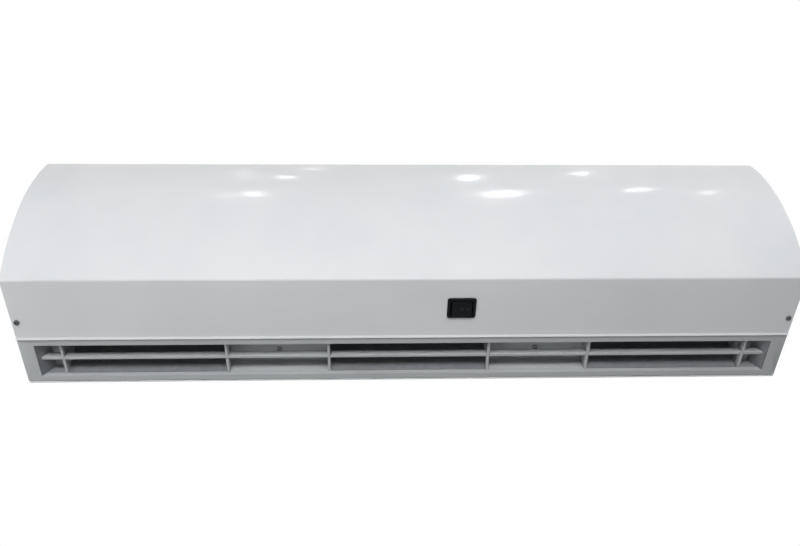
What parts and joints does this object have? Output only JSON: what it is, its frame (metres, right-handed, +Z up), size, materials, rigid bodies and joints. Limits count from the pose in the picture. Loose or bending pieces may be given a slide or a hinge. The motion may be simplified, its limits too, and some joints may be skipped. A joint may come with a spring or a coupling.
{
  "type": "air curtain",
  "caption": "Long white wall-mounted air curtain with an arched sheet-metal cover, slotted top intake, rocker switch and a barred outlet slot that blows air down across a doorway.",
  "frame": {"origin": "centre of the back plate's rear face, which lies on the wall", "axes": "+X along the casing to the right as seen from the front, +Y into the wall, +Z up"},
  "size_m": [0.9022, 0.1584, 0.2398],
  "materials": {
    "casing_paint": "satin powder coat",
    "frame_paint": "satin powder coat",
    "galvanised_steel": "galvanised",
    "wheel_aluminium": "rolled",
    "cast_aluminium": "as cast",
    "motor_paint": "satin",
    "lamination_steel": "pressed",
    "shaft_steel": "ground",
    "bush_bronze": "sintered",
    "black_rubber": "matt",
    "switch_plastic": "satin",
    "black_plastic": "matt",
    "pale_plastic": "matt",
    "terminal_brass": "plain",
    "screw_steel": "black zinc"
  },
  "bodies": {
    "casing": {"air_tongue_1": "galvanised_steel", "air_tongue_2": "galvanised_steel", "air_tongue_3": "galvanised_steel", "back_plate": "casing_paint", "bay_bracket_1": "galvanised_steel", "bay_bracket_2": "galvanised_steel", "bay_cover_1": "frame_paint", "bay_cover_2": "frame_paint", "bay_cover_screws": "screw_steel", "bay_partition_1": "frame_paint", "bay_partition_2": "frame_paint", "bay_partition_3": "frame_paint", "bay_partition_4": "frame_paint", "bay_partition_5": "frame_paint", "bay_partition_6": "frame_paint", "bearing_bush_left": "bush_bronze", "bearing_bush_right": "bush_bronze", "bearing_carrier_left": "cast_aluminium", "bearing_carrier_right": "cast_aluminium", "cable_grommet": "black_rubber", "cover_screws": "screw_steel", "end_bay_pan_left": "galvanised_steel", "end_bay_pan_right": "galvanised_steel", "end_plate_left": "casing_paint", "end_plate_right": "casing_paint", "front_cover": "casing_paint", "motor_1_left_bell": "cast_aluminium", "motor_1_left_ring": "black_rubber", "motor_1_right_bell": "cast_aluminium", "motor_1_right_ring": "black_rubber", "motor_2_left_bell": "cast_aluminium", "motor_2_left_ring": "black_rubber", "motor_2_right_bell": "cast_aluminium", "motor_2_right_ring": "black_rubber", "motor_shell_1": "motor_paint", "motor_shell_2": "motor_paint", "motor_stator_1": "lamination_steel", "motor_stator_2": "lamination_steel", "outlet_bar": "frame_paint", "outlet_frame": "frame_paint", "rear_guide_1": "galvanised_steel", "rear_guide_2": "galvanised_steel", "rear_guide_3": "galvanised_steel", "run_capacitor_1": "black_plastic", "run_capacitor_2": "black_plastic", "switch_housing": "switch_plastic", "switch_terminals": "terminal_brass", "terminal_block": "pale_plastic", "top_panel": "casing_paint"},
    "fan_rotor": {"fan_wheel_1": "wheel_aluminium", "fan_wheel_2": "wheel_aluminium", "fan_wheel_3": "wheel_aluminium", "hub_grub_screws": "screw_steel", "motor_core_1": "lamination_steel", "motor_core_2": "lamination_steel", "motor_shaft_1": "shaft_steel", "motor_shaft_2": "shaft_steel", "stub_axle_left": "shaft_steel", "stub_axle_right": "shaft_steel"},
    "rocker": {"switch_rocker": "switch_plastic"}
  },
  "joints": [
    {"name": "fan_line", "type": "hinge", "parent": "casing", "child": "fan_rotor", "pos_m": [0, -0.07, -0.008], "axis": [1, 0, 0], "continuous": true},
    {"name": "rocker_tilt", "type": "hinge", "parent": "casing", "child": "rocker", "pos_m": [0.058, -0.10177, -0.08923], "axis": [0, 0.9669, -0.2553], "range_deg": [-10, 10]}
  ]
}
